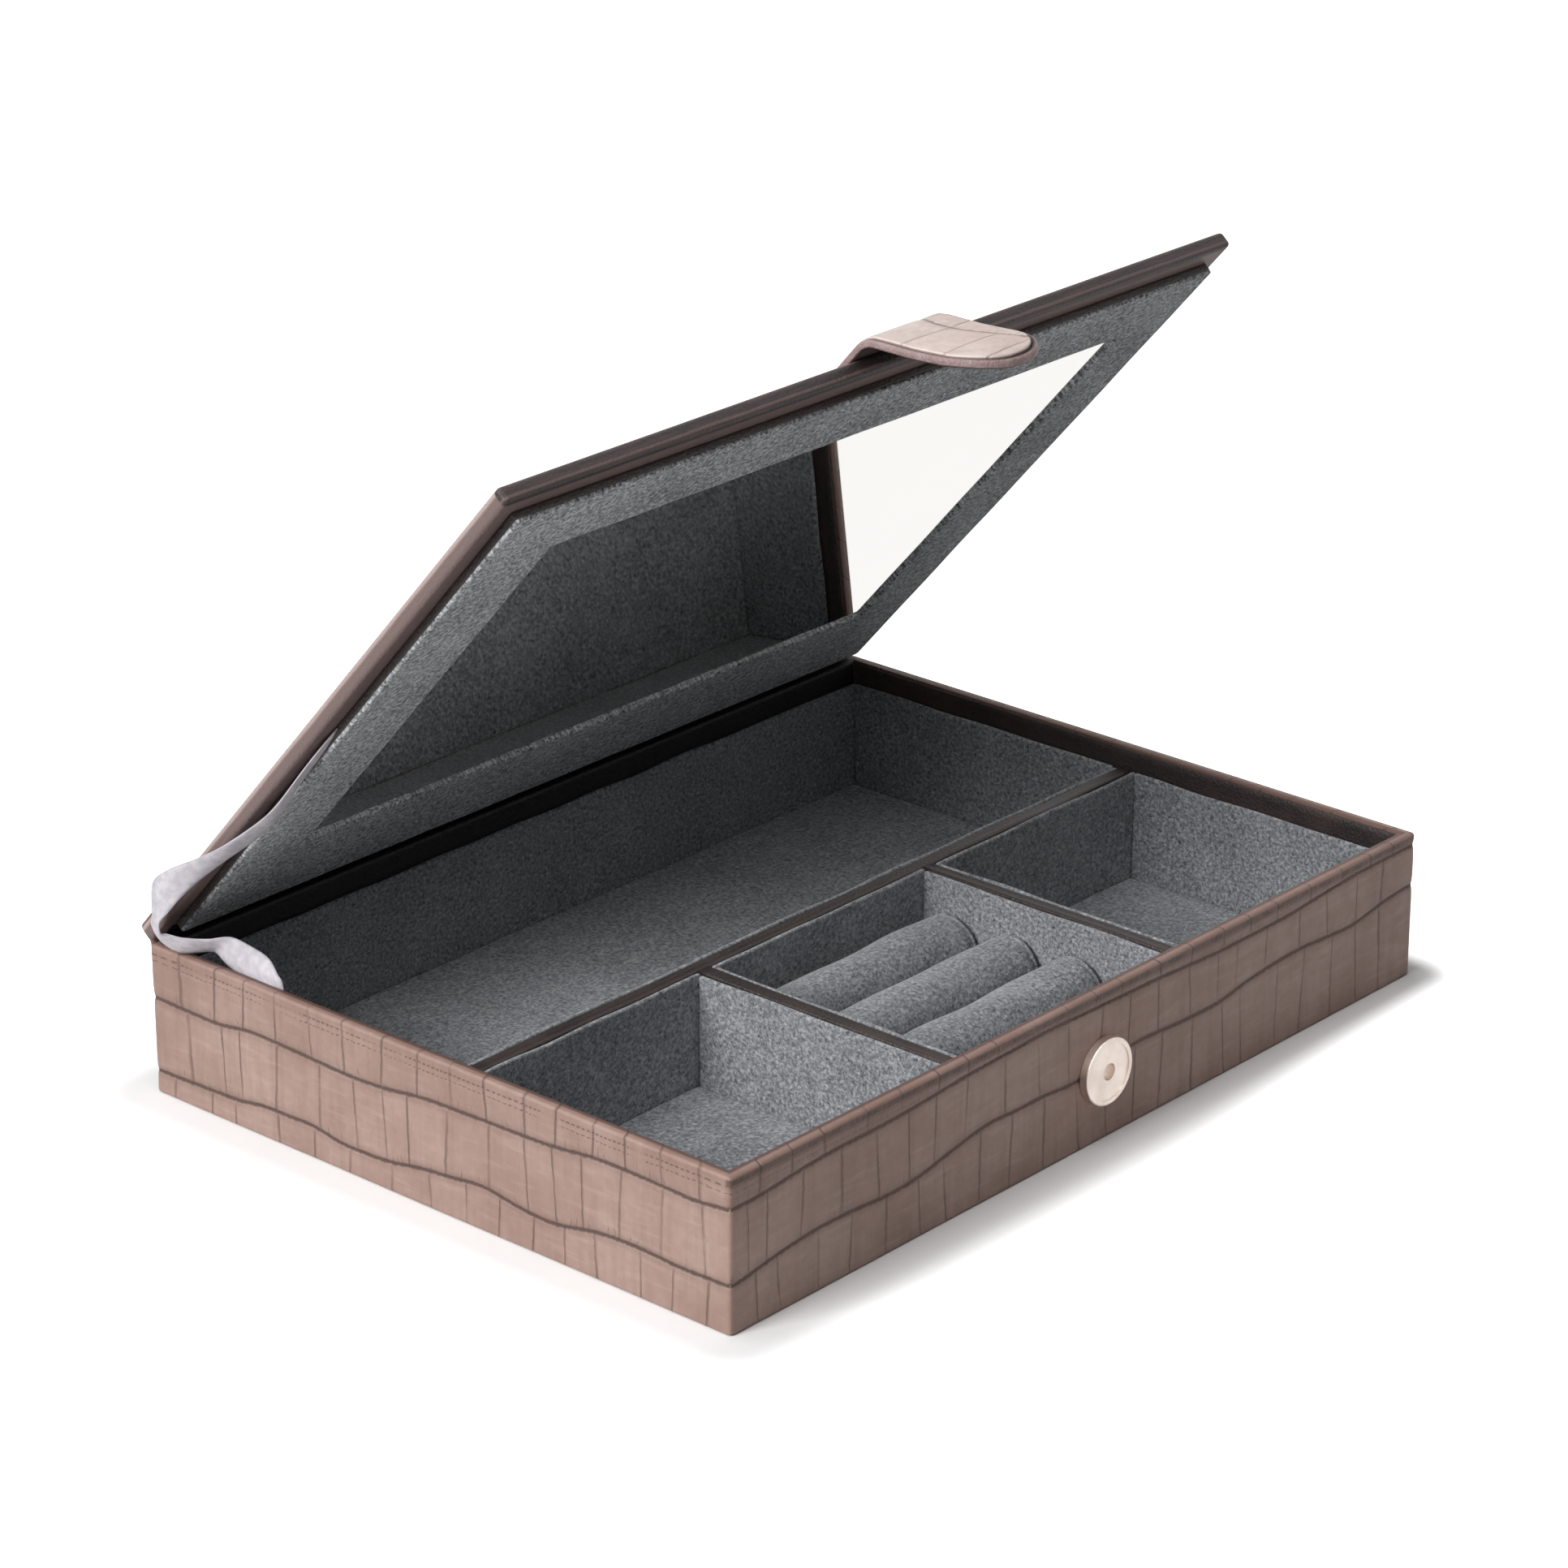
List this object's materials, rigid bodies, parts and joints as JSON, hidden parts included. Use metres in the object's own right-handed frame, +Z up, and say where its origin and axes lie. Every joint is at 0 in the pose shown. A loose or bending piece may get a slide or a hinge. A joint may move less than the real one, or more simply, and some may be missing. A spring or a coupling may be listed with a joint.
{
  "type": "cufflink box",
  "caption": "Flat leatherette jewellery and cufflink box with a hinged mirror lid, felt-lined compartments, ring rolls, a ribbon stay and a strap with a magnetic snap",
  "frame": {"origin": "middle of the base's underside, on the surface it stands on", "axes": "+X to the right along the hinge, -Y the front with the snap, +Z up"},
  "size_m": [0.2671, 0.1986, 0.1953],
  "materials": {
    "croc_leather": "embossed",
    "smooth_leather": "smooth",
    "felt": "napped",
    "satin": "satin",
    "underside_sheet": "napped",
    "board": "raw fibreboard",
    "card": "raw",
    "mirror": "silvered",
    "metal": "plated satin",
    "magnet": "sintered"
  },
  "bodies": {
    "base": {"base_covering": "croc_leather", "bottom_sheet": "underside_sheet", "bottom_board": "board", "front_wall_board": "board", "back_wall_board": "board", "left_wall_board": "board", "right_wall_board": "board", "long_divider_board": "board", "left_divider_board": "board", "right_divider_board": "board", "rim_lining": "smooth_leather", "long_divider_wrap": "smooth_leather", "left_divider_wrap": "smooth_leather", "right_divider_wrap": "smooth_leather", "back_liner_front": "felt", "back_liner_back": "felt", "back_liner_left": "felt", "back_liner_right": "felt", "left_liner_front": "felt", "left_liner_back": "felt", "left_liner_left": "felt", "left_liner_right": "felt", "ring_liner_front": "felt", "ring_liner_back": "felt", "ring_liner_left": "felt", "ring_liner_right": "felt", "right_liner_front": "felt", "right_liner_back": "felt", "right_liner_left": "felt", "right_liner_right": "felt", "back_floor_pad": "felt", "left_floor_pad": "felt", "ring_floor_pad": "felt", "right_floor_pad": "felt", "ring_roll_1": "felt", "ring_roll_2": "felt", "ring_roll_3": "felt", "ring_roll_4": "felt", "snap_disc": "metal", "snap_magnet": "magnet", "snap_backplate": "metal", "hinge_spine": "croc_leather", "hinge_liner": "smooth_leather", "ribbon_stay": "satin"},
    "lid": {"lid_board": "board", "lid_covering": "smooth_leather", "lid_top_cover": "croc_leather", "panel_board": "board", "panel_wrap": "smooth_leather", "felt_frame": "felt", "mirror": "mirror", "strap_root": "croc_leather", "strap_bend": "croc_leather"},
    "strap": {"strap_face": "croc_leather", "strap_core": "card", "strap_lining": "smooth_leather", "strap_snap": "metal"}
  },
  "joints": [
    {"name": "lid_hinge", "type": "hinge", "parent": "base", "child": "lid", "pos_m": [0, 0.096, 0.0403], "axis": [-1, 0, 0], "range_deg": [-48.6, 46.4], "deforming": ["hinge_spine", "hinge_liner", "ribbon_stay"]},
    {"name": "strap_hinge", "type": "hinge", "parent": "lid", "child": "strap", "pos_m": [0.0025, -0.0304, 0.19229], "axis": [-1, 0, 0], "range_deg": [-44, 76], "stiffness_Nm_per_rad": 0.03, "deforming": ["strap_bend"]}
  ]
}
